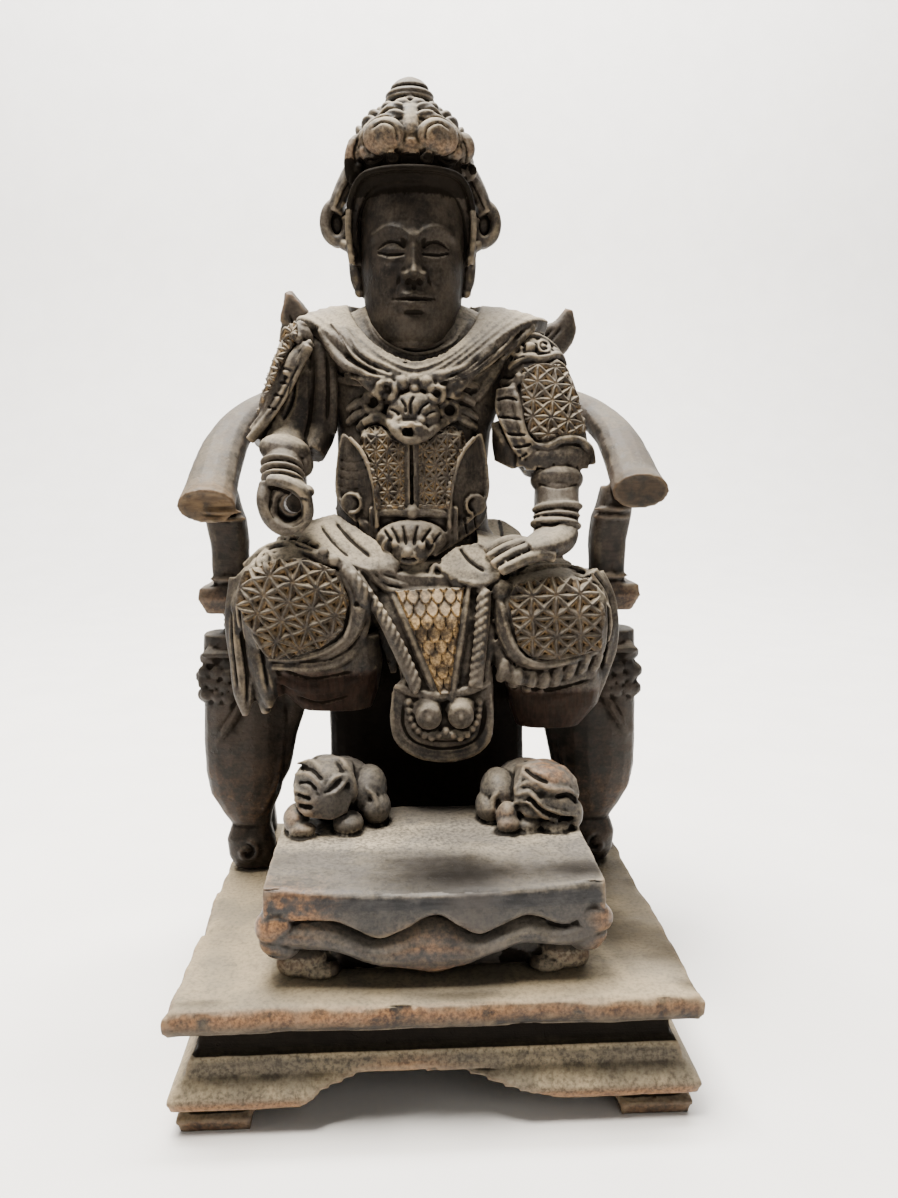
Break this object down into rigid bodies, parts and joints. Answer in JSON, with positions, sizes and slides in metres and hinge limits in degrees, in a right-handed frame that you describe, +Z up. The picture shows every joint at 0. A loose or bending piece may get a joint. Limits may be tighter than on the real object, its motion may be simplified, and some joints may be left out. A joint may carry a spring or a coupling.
{
  "type": "carved wooden guardian deity seated on a horseshoe-back armchair",
  "caption": "Carved wooden armoured guardian deity seated on a horseshoe-back armchair, with a beast footstool, on a moulded plinth.",
  "frame": {"origin": "centre of the plinth's underside, which is also the bottom centre of the bounding box", "axes": "+X to the viewer's right, +Y away from the viewer to the chair's back, +Z up"},
  "size_m": [0.1639, 0.14, 0.3137],
  "materials": {
    "plinth_wood": "dusty aged lacquer, worn edges",
    "footstool_wood": "dusty aged lacquer, worn edges",
    "chair_wood": "dark aged lacquer",
    "figure_wood": "dark aged lacquer with dust and traces of gold"
  },
  "bodies": {
    "root": {"plinth": "plinth_wood", "footstool": "footstool_wood", "chair": "chair_wood", "figure": "figure_wood"}
  },
  "joints": []
}
